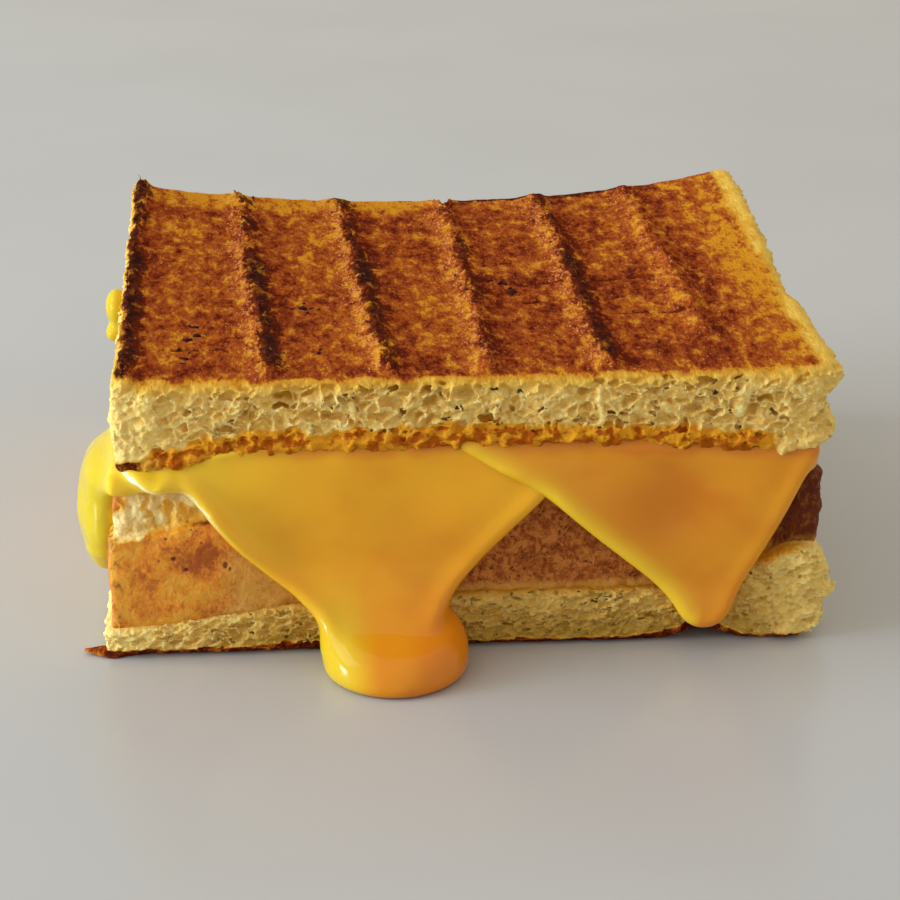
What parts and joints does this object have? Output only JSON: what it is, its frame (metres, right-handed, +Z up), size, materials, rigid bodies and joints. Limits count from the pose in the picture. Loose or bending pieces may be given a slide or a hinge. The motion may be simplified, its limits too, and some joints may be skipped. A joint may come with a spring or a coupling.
{
  "type": "grilled cheese sandwich",
  "caption": "Toasted crustless sandwich, ridged on top, with a thick browned filling and melted cheese that hangs over the front and runs into a small puddle.",
  "frame": {"origin": "middle of the bottom slice's flat underside, where the sandwich rests on the table", "axes": "+X to the right along the long front face, +Y from the front face with the hanging cheese towards the back, +Z up"},
  "size_m": [0.1154, 0.1113, 0.0478],
  "materials": {
    "toasted_bread": "browned, speckled and slightly buttery, with pale open crumb at its cut sides",
    "bread_crumb": "pale open crumb, with a thin browned skin underneath",
    "browned_filling": "pan-browned, golden at one end and red-brown at the other, slightly moist",
    "melted_cheese": "smooth, soft and glossy melted cheese"
  },
  "bodies": {
    "root": {"bread_top": "toasted_bread", "bread_bottom": "bread_crumb", "browned_filling": "browned_filling", "cheese_left": "melted_cheese", "cheese_right": "melted_cheese"}
  },
  "joints": []
}
